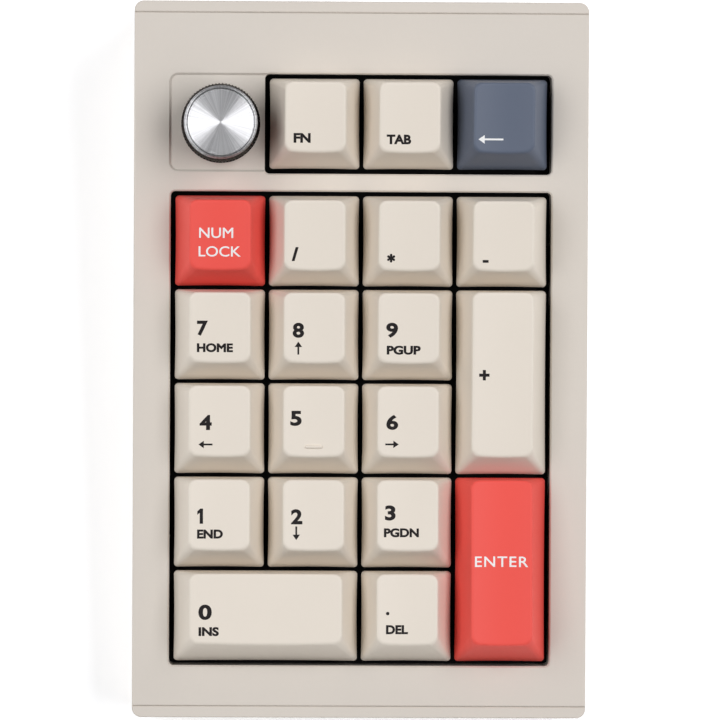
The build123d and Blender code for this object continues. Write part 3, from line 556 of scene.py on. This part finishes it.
def build_drift_group():
    """A moulded colour's unevenness: a little lighter and darker over centimetres, with fine flecks."""
    tree, start, end = shader_group(
        "colour_drift",
        {"Colour": (0.5, 0.5, 0.5, 1), "Amount": 0.05, "Scale": 60.0},
        {"Colour": "NodeSocketColor"},
    )
    slow = Field(tree, noise(tree, start.outputs["Scale"], 3.0).outputs["Fac"])
    fine = Field(tree, noise(tree, FLECK_PITCH, 1.0).outputs["Fac"])
    drift = (slow - 0.5) * SLOW_SHARE + (fine - 0.5) * FLECK_SHARE
    value = drift * Field(tree, start.outputs["Amount"]) + 1.0
    tinted = linked(tree, "ShaderNodeHueSaturation", {"Color": start.outputs["Colour"], "Value": value})
    tree.links.new(tinted.outputs[0], end.inputs["Colour"])
    return tree


def build_handling_group():
    """Roughness that is a little higher and lower in patches, from noise."""
    tree, start, end = shader_group(
        "handling_polish",
        {"Roughness": 0.5, "Variation": 0.1, "Scale": 180.0},
        {"Roughness": "NodeSocketFloat"},
    )
    patch = Field(tree, noise(tree, start.outputs["Scale"], 4.0, 0.6).outputs["Fac"])
    change = (patch - 0.5) * Field(tree, start.outputs["Variation"])
    rough = Field(tree, start.outputs["Roughness"]) + change
    tree.links.new(rough.clamp().socket, end.inputs["Roughness"])
    return tree


GRAIN = build_grain_group()
DRIFT = build_drift_group()
HANDLING = build_handling_group()


def placed_group(tree, group, **values):
    """A shader group's node in a material, with its own values."""
    node = tree.nodes.new("ShaderNodeGroup")
    node.node_tree = group
    for label, value in values.items():
        node.inputs[label].default_value = value
    return node


def finish_material(
    name, colour, roughness, pitch=2500.0, depth=0.3, metallic=0.0, drift=0.05, specular=0.5, bump_mm=0.02,
    scale=60.0,
):
    """A solid finish: drifting colour, handled roughness and a fine bump. depth is a share of bump_mm."""
    material = bpy.data.materials.new(name)
    material.use_nodes = True
    tree = material.node_tree
    shader = tree.nodes["Principled BSDF"]
    shader.inputs["Metallic"].default_value = metallic
    shader.inputs["Specular IOR Level"].default_value = specular
    tone = placed_group(tree, DRIFT, Colour=(*colour, 1), Amount=drift, Scale=scale)
    polish = placed_group(tree, HANDLING, Roughness=roughness)
    grain = placed_group(tree, GRAIN, Pitch=pitch, Depth=depth)
    bump = linked(tree, "ShaderNodeBump", {"Height": grain.outputs["Height"], "Distance": bump_mm * MM})
    tree.links.new(tone.outputs[0], shader.inputs["Base Color"])
    tree.links.new(polish.outputs[0], shader.inputs["Roughness"])
    tree.links.new(bump.outputs[0], shader.inputs["Normal"])
    return material


# the knob's turned face: pitch and share of its two sets of rings, and how deep they are
FINE_RING, FINE_RING_SHARE = 0.11 * MM, 0.5
BROAD_RING, BROAD_RING_SHARE = 0.27 * MM, 0.3
RING_DEPTH = 0.015 * MM
# how far below the top the rings begin and the painted shade on the knob's side ends, and how far each takes
# to come in
RING_DROP, RING_BLEND = 0.6 * MM, 0.2 * MM
PAINTED_SHADE_DROP, PAINTED_SHADE_BLEND = 0.37 * MM, 0.05 * MM
# how dark the knob's side is painted: painted shade standing in for the dark surroundings that the side
# reflects
KNOB_PAINTED_SIDE_SHADE = 0.06
# painted reflection streaks: spokes of lighter and darker colour round the face, standing in for its streaky
# reflections
PAINTED_STREAK_DEPTH = 1.1
PAINTED_STREAK_SCALE = 18.0


def turned_metal_material():
    """Metal with turning rings and painted spokes of reflection on the knob's face, centred on its axis, and
    a grip darkened by painted shade.
    """
    material = finish_material(
        "turned_aluminium", (0.53, 0.525, 0.525), 0.3, pitch=4000.0, depth=0.2, metallic=1.0, drift=0.04
    )
    tree = material.node_tree
    shader = tree.nodes["Principled BSDF"]
    shader.inputs["Specular Tint"].default_value = (0.25, 0.23, 0.22, 1)
    into_knob = deck_matrix(KNOB_PIVOT.x, 0).inverted()
    centred = linked(
        tree,
        "ShaderNodeMapping",
        {
            "Vector": object_place(tree),
            "Location": into_knob.to_translation(),
            "Rotation": into_knob.to_euler("XYZ"),
        },
    )
    place = linked(tree, "ShaderNodeSeparateXYZ", {0: centred.outputs[0]})
    x, y, z = (Field(tree, place.outputs[axis]) for axis in "XYZ")
    radius = (x * x + y * y).math("SQRT")
    fine_rings = (radius * (2 * pi / FINE_RING)).math("SINE") * FINE_RING_SHARE
    broad_rings = (radius * (2 * pi / BROAD_RING)).math("SINE") * BROAD_RING_SHARE
    face = ((z - (KNOB_TOP_W - RING_DROP)) / RING_BLEND).clamp()
    # painted shade: the colour below the top face is darkened, standing in for the dark surroundings that
    # the side reflects
    painted_side_shade = ((z - (KNOB_TOP_W - PAINTED_SHADE_DROP)) / PAINTED_SHADE_BLEND).clamp().mix(KNOB_PAINTED_SIDE_SHADE, 1.0)
    # painted reflection streaks: noise over the direction from the axis lightens and darkens the colour in
    # spokes
    spoke = linked(tree, "ShaderNodeCombineXYZ", {"X": x / radius, "Y": y / radius})
    painted_streak = linked(
        tree, "ShaderNodeTexNoise", {"Vector": spoke.outputs[0], "Scale": PAINTED_STREAK_SCALE, "Detail": 4.0}
    )
    shade = painted_side_shade * (Field(tree, painted_streak.outputs["Fac"]) * PAINTED_STREAK_DEPTH + (1.0 - PAINTED_STREAK_DEPTH / 2))
    tone = shader.inputs["Base Color"].links[0].from_socket
    shaded = linked(tree, "ShaderNodeHueSaturation", {"Color": tone, "Value": shade})
    tree.links.new(shaded.outputs[0], shader.inputs["Base Color"])
    bump = linked(
        tree,
        "ShaderNodeBump",
        {
            "Height": (fine_rings + broad_rings) * face,
            "Distance": RING_DEPTH,
            "Normal": shader.inputs["Normal"].links[0].from_socket,
        },
    )
    tree.links.new(bump.outputs[0], shader.inputs["Normal"])
    return material


CASE = finish_material("case_plastic", (0.685, 0.622, 0.546), 0.52, pitch=2600.0, depth=0.55, drift=0.035)
# the caps' fine grain, and the ink's
CAP_GRAIN = {"pitch": 4200.0, "depth": 0.35}
INK_GRAIN = {"pitch": 5000.0, "depth": 0.3, "bump_mm": 0.01}
CREAM, RED, SLATE = (0.808, 0.728, 0.624), (0.89, 0.102, 0.08), (0.112, 0.134, 0.184)
CAPS = {
    "cream": finish_material("cream_cap", CREAM, 0.48, drift=0.03, specular=0.3, **CAP_GRAIN),
    "red": finish_material("red_cap", RED, 0.47, drift=0.03, specular=0.2, **CAP_GRAIN),
    "slate": finish_material("slate_cap", SLATE, 0.5, drift=0.04, **CAP_GRAIN),
}
INKS = {
    "dark": finish_material("dark_ink", (0.012, 0.009, 0.009), 0.6, specular=0.2, **INK_GRAIN),
    "white": finish_material("white_ink", (0.88, 0.87, 0.85), 0.5, **INK_GRAIN),
}
BLACK_NYLON = finish_material("black_nylon", (0.012, 0.012, 0.012), 0.6, depth=0.6)
KNOB_METAL = turned_metal_material()
NODE_FINISHES = {
    "top_shell": CASE,
    "bottom_shell": CASE,
    "switch_plate": finish_material(
        "powder_coat", (0.008, 0.008, 0.008), 0.8, pitch=1500.0, depth=1.0, bump_mm=0.04, specular=0.2
    ),
    "circuit_board": finish_material("solder_mask", (0.01, 0.014, 0.012), 0.35, pitch=900.0, depth=0.3),
    "controller_chip": finish_material("chip_resin", (0.02, 0.02, 0.02), 0.65),
    "switch_bottom_housings": BLACK_NYLON,
    "switch_top_housings": BLACK_NYLON,
    "stabiliser_housings": BLACK_NYLON,
    "switch_springs": finish_material("spring_wire", (0.6, 0.6, 0.58), 0.3, metallic=1.0, depth=0.2),
    "encoder_body": finish_material("cast_zinc", (0.5, 0.5, 0.5), 0.45, metallic=1.0),
    "encoder_shaft": finish_material("milled_shaft", (0.6, 0.6, 0.6), 0.35, metallic=1.0),
    "encoder_plunger": BLACK_NYLON,
    "usb_c_receptacle": finish_material(
        "drawn_steel", (0.62, 0.62, 0.63), 0.28, pitch=1800.0, metallic=1.0
    ),
    "case_screws": finish_material("black_oxide", (0.06, 0.06, 0.065), 0.4, metallic=1.0),
    "rubber_feet": finish_material(
        "foot_rubber", (0.02, 0.02, 0.02), 0.85, pitch=900.0, depth=1.0, bump_mm=0.05
    ),
    "gasket_pads": finish_material(
        "gasket_foam", (0.03, 0.03, 0.03), 0.95, pitch=1200.0, depth=1.0, bump_mm=0.08
    ),
}
WIRE_STEEL = finish_material("blackened_wire", (0.05, 0.05, 0.05), 0.5, metallic=1.0, depth=0.2)
SLIDER_PLASTIC = finish_material("slider_plastic", (0.04, 0.02, 0.015), 0.35, depth=0.2)


def dress_nodes():
    """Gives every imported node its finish."""
    for name, node in frame["nodes"].items():
        if name.startswith("slider_"):
            finish = SLIDER_PLASTIC
        elif name.startswith("keycap_"):
            finish = CAPS["cream"]
        elif name.endswith("_wire"):
            finish = WIRE_STEEL
        elif name == "knob":
            finish = KNOB_METAL
        else:
            finish = NODE_FINISHES[name]
        for slot in node.material_slots:
            slot.material = finish


# Legends


# thickness of an arrow's line, and its head's length as a share of its width
ARROW_LINE = 0.36
ARROW_HEAD = 0.72
# the figure one: its stem, and the height of its flag's slope, edge and foot below its top
ONE_STEM = 0.66
ONE_FLAG_TOP = 0.56
ONE_FLAG_EDGE = 1.24
ONE_FLAG_FOOT = 0.84
CROSS_LINE = 0.31
DOT_POINTS = 24
SHAPES = ("dash", "dot", "cross", "one", "arrow_left", "arrow_right", "arrow_up", "arrow_down")


def arrow_outline(width, height, heading):
    """A slim arrow as an outline that fills width by height, heading left, right, up or down."""
    length, spread = (width, height) if heading in ("left", "right") else (height, width)
    line, head = ARROW_LINE, spread * ARROW_HEAD
    points = [
        (0, -line / 2), (length - head, -line / 2), (length - head, -spread / 2), (length, 0),
        (length - head, spread / 2), (length - head, line / 2), (0, line / 2),
    ]
    points = [(x - length / 2, y) for x, y in points]
    turn = {"right": (1, 0), "up": (0, 1), "left": (-1, 0), "down": (0, -1)}[heading]
    return [(x * turn[0] - y * turn[1], x * turn[1] + y * turn[0]) for x, y in points]


def shape_outline(shape, width, height):
    """The outline of a mark that isn't text, about its middle."""
    right, top = width / 2, height / 2
    if shape.startswith("arrow_"):
        return arrow_outline(width, height, shape.removeprefix("arrow_"))
    if shape == "dash":
        return [(-right, -top), (right, -top), (right, top), (-right, top)]
    if shape == "one":
        stem = right - ONE_STEM
        return [
            (stem, -top), (right, -top), (right, top), (right - ONE_FLAG_TOP, top),
            (-right, top - ONE_FLAG_TOP), (-right, top - ONE_FLAG_EDGE), (stem, top - ONE_FLAG_FOOT),
        ]
    if shape == "dot":
        angles = [2 * pi * step / DOT_POINTS for step in range(DOT_POINTS)]
        return [(right * cos(angle), right * sin(angle)) for angle in angles]
    corner = [(right, -CROSS_LINE), (right, CROSS_LINE), (CROSS_LINE, CROSS_LINE)]
    turns = ((1, 0), (0, 1), (-1, 0), (0, -1))
    return [(x * c - y * s, x * s + y * c) for c, s in turns for x, y in corner]


def shape_slab(shape, width, height):
    """A mark that isn't text, as a slab one unit thick."""
    build = bmesh.new()
    outline = shape_outline(shape, width, height)
    face = build.faces.new([build.verts.new((x, y, 0)) for x, y in outline])
    extruded = bmesh.ops.extrude_face_region(build, geom=[face])
    for item in extruded["geom"]:
        if isinstance(item, bmesh.types.BMVert):
            item.co.z = 1
    return build


def text_slab(words, height, width):
    """Text as a slab one unit thick, its ink scaled to height, and to width where one is given."""
    if words == "/":
        weight = SLASH_WEIGHT
    elif len(words) == 1:
        weight = DIGIT_WEIGHT
    else:
        weight = CONTROL_WEIGHT if height == CONTROL_HEIGHT else WORD_WEIGHT
    curve = bpy.data.curves.new(words, "FONT")
    curve.body = words
    curve.extrude = 0.5
    curve.resolution_u = 5
    if words == "ENTER":
        curve.space_character = ENTER_SPACING
    curve.bevel_depth = weight
    curve.bevel_resolution = 0
    holder = put_in_scene(words, curve)
    mesh = bpy.data.meshes.new_from_object(holder.evaluated_get(bpy.context.evaluated_depsgraph_get()))
    bpy.data.objects.remove(holder)
    build = bmesh.new()
    build.from_mesh(mesh)
    bmesh.ops.remove_doubles(build, verts=build.verts, dist=1e-5)
    xs = [vert.co.x for vert in build.verts]
    ys = [vert.co.y for vert in build.verts]
    thick = max(vert.co.z for vert in build.verts) * 2
    tall = height / (max(ys) - min(ys))
    wide = width / (max(xs) - min(xs)) if width else tall
    middle = ((max(xs) + min(xs)) / 2, (max(ys) + min(ys)) / 2)
    for vert in build.verts:
        vert.co = ((vert.co.x - middle[0]) * wide, (vert.co.y - middle[1]) * tall, vert.co.z / thick + 0.5)
    return build


def legend_piece(key):
    """All the marks on one cap, laid on its dished top as thin slabs of ink."""
    form = cap_form(key)
    whole = bmesh.new()
    for shape, height, width, left, middle in LEGENDS[key]:
        build = shape_slab(shape, width, height) if shape in SHAPES else text_slab(shape, height, width)
        half = max(vert.co.x for vert in build.verts)
        for vert in build.verts:
            x = (vert.co.x + half + left) * MM
            y = (vert.co.y + middle) * MM
            vert.co = (x, y, top_height(form, x, y) - INK_SUNK + vert.co.z * (INK_PROUD + INK_SUNK))
        part = bpy.data.meshes.new("mark")
        build.to_mesh(part)
        build.free()
        whole.from_mesh(part)
        bpy.data.meshes.remove(part)
    mesh = bpy.data.meshes.new("legend_" + key)
    whole.to_mesh(mesh)
    whole.free()
    piece = placed("legend_" + key, mesh, deck_matrix(form["u"], form["v"], RIM_W))
    piece.data.materials.clear()
    piece.data.materials.append(INKS["dark" if KEYS[key][-1] == "cream" else "white"])
    return piece


def homing_bar():
    """The raised bar that a finger feels on the middle key: a low round-ended ridge."""
    form = cap_form("5")
    build = bmesh.new()
    bmesh.ops.create_uvsphere(build, u_segments=24, v_segments=12, radius=BAR_RADIUS)
    for vert in build.verts:
        x = vert.co.x + (BAR_HALF_LENGTH if vert.co.x > 0 else -BAR_HALF_LENGTH)
        y = vert.co.y - BAR_FORWARD
        vert.co = (x, y, top_height(form, x, y) + vert.co.z * BAR_RISE)
    mesh = bpy.data.meshes.new("homing_bar")
    build.to_mesh(mesh)
    build.free()
    piece = placed("homing_bar", mesh, deck_matrix(form["u"], form["v"], RIM_W))
    piece.data.materials.append(CAPS["cream"])
    piece.data.shade_smooth()
    return piece


def build_keys():
    """Every cap over its node, with its legends, riding on its key's body."""
    tree = build_keycap_tree()
    for key, (*_, colour) in KEYS.items():
        form = cap_form(key)
        settings = {size: form[size] for size in CAP_SIZES}
        settings.update({"Around": CAP_AROUND + 1, "Levels": len(cap_stations()), "Finish": CAPS[colour]})
        cap = grown(tree, "cap_" + key, settings, deck_matrix(form["u"], form["v"], RIM_W))
        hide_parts("keycap_" + key)
        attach(cap, "key_" + key)
        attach(legend_piece(key), "key_" + key)
    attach(homing_bar(), "key_5")


def build_springs():
    """A spring in every switch, fixed to the root body."""
    tree = build_spring_tree()
    settings = {
        "Radius": SPRING_RADIUS,
        "Wire": SPRING_WIRE,
        "Length": SPRING_LENGTH,
        "Turns": SPRING_TURNS,
        "Finish": NODE_FINISHES["switch_springs"],
    }
    for key in KEYS:
        form = cap_form(key)
        spring = grown(tree, "spring_" + key, settings, deck_matrix(form["u"], form["v"], SPRING_FOOT_W))
        foot = deck_point(form["u"], form["v"], SPRING_FOOT_W)
        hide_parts("switch_springs")
        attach(spring, "root")
        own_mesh(spring)


def build_knob():
    """The knurled knob over its node."""
    settings = {
        "Radius": KNOB_RADIUS,
        "Height": KNOB_TOP_W - KNOB_BOTTOM_W,
        "Teeth": float(KNOB_TEETH),
        "Tooth Depth": TOOTH_DEPTH,
        "Around": KNOB_TEETH * POINTS_A_TOOTH + 1,
        "Levels": len(knob_stations()),
        "Finish": KNOB_METAL,
    }
    place = deck_matrix(KNOB_PIVOT.x, 0, KNOB_BOTTOM_W)
    knob = grown(build_knob_tree(), "knurled_knob", settings, place)
    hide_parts("knob")
    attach(knob, "knob_turn_body")


# Studio

MIDDLE_V = -2.515 * UNIT
# the sky: its colour, its strength over the sides, and how quickly it fades towards the level
SKY_COLOUR = (0.95, 0.975, 1.0, 1)
SKY_SIDES = 0.62
SKY_FALL = 3.0
# each lamp's place from the middle of the deck, in metres, and its power in watts
LAMPS = {"left_soft": ((-0.75, 0.1, 1.0), 8.0), "right_soft": ((0.65, 0.1, 1.05), 9.8)}
LAMP_SIZE = (0.6, 1.2)
LAMP_COLOUR = (0.985, 0.995, 1.03)
# the floor: half its side in metres, its colour and its own glow
FLOOR_HALF = 2.5
FLOOR_COLOUR = (0.93, 0.93, 0.93)
FLOOR_GLOW = 0.35
# the camera: its lens and sensor in mm, its shift, its turn about its own view, and from the middle of
# the deck its place and the spot it looks at
LENS_LENGTH = 246.2
SENSOR_WIDTH = 36.0
LENS_SHIFT = (0.0495, -0.03)
CAMERA_ROLL = radians(0.28)
CAMERA_PLACE = (-27.0 * MM, 24.0 * MM, 1000 * MM)
CAMERA_LOOK = (-7.35 * MM, 4.4 * MM)
ALMOST_REAR = Vector((0, 1, 0.01))


def aim(thing, place, target, up):
    """Puts a camera or light at place, looking at target, with its top towards up."""
    back = (place - target).normalized()
    right = up.cross(back).normalized()
    turn = Matrix((right, back.cross(right), back)).transposed().to_4x4()
    thing.matrix_world = Matrix.Translation(place) @ turn


def build_sky():
    """Soft light from above that fades towards the level and towards front and rear."""
    world = bpy.data.worlds.new("studio")
    world.use_nodes = True
    tree = world.node_tree
    backdrop = tree.nodes["Background"]
    backdrop.inputs["Color"].default_value = SKY_COLOUR
    view = tree.nodes.new("ShaderNodeTexCoord")
    sky = linked(tree, "ShaderNodeSeparateXYZ", {0: view.outputs["Generated"]})
    ends = Field(tree, sky.outputs["Y"]).math("ABSOLUTE").mix(SKY_SIDES, 0.0)
    strength = ends * Field(tree, sky.outputs["Z"]).clamp().math("POWER", SKY_FALL).mix(1.0, 0.0)
    tree.links.new(strength.socket, backdrop.inputs["Strength"])
    bpy.context.scene.world = world


def build_floor():
    """A wide sheet of pale paper that glows a little."""
    build = bmesh.new()
    bmesh.ops.create_grid(build, x_segments=4, y_segments=4, size=FLOOR_HALF)
    mesh = bpy.data.meshes.new("floor")
    build.to_mesh(mesh)
    build.free()
    floor = put_in_scene("floor", mesh)
    paper = finish_material("floor_paper", FLOOR_COLOUR, 0.9, pitch=400.0, depth=0.2, drift=0.01, scale=3.0)
    glow = paper.node_tree.nodes["Principled BSDF"].inputs
    glow["Emission Color"].default_value = (1, 1, 1, 1)
    glow["Emission Strength"].default_value = FLOOR_GLOW
    floor.data.materials.append(paper)


def build_lamps():
    """Two large soft lamps, to the left and the right."""
    target = deck_point(0, MIDDLE_V)
    for name, (offset, watts) in LAMPS.items():
        light = bpy.data.lights.new(name, "AREA")
        light.shape = "RECTANGLE"
        light.size, light.size_y = LAMP_SIZE
        light.energy = watts
        light.color = LAMP_COLOUR
        aim(put_in_scene(name, light), target + Vector(offset), target, ALMOST_REAR)


def build_camera():
    """A long lens almost square to the deck."""
    lens = bpy.data.cameras.new("camera")
    lens.sensor_width = SENSOR_WIDTH
    lens.lens = LENS_LENGTH
    lens.shift_x, lens.shift_y = LENS_SHIFT
    camera = put_in_scene("camera", lens)
    u, v, w = CAMERA_PLACE
    place = deck_point(u, MIDDLE_V + v, w)
    u, v = CAMERA_LOOK
    look = deck_point(u, MIDDLE_V + v)
    aim(camera, place, look, DECK_REAR * cos(CAMERA_ROLL) + DECK_RIGHT * sin(-CAMERA_ROLL))
    bpy.context.scene.camera = camera


def build_studio():
    """The sky, floor, lamps and camera."""
    bpy.context.scene.view_settings.view_transform = "Standard"
    build_sky()
    build_floor()
    build_lamps()
    build_camera()


dress_nodes()
build_keys()
build_springs()
build_knob()
build_studio()
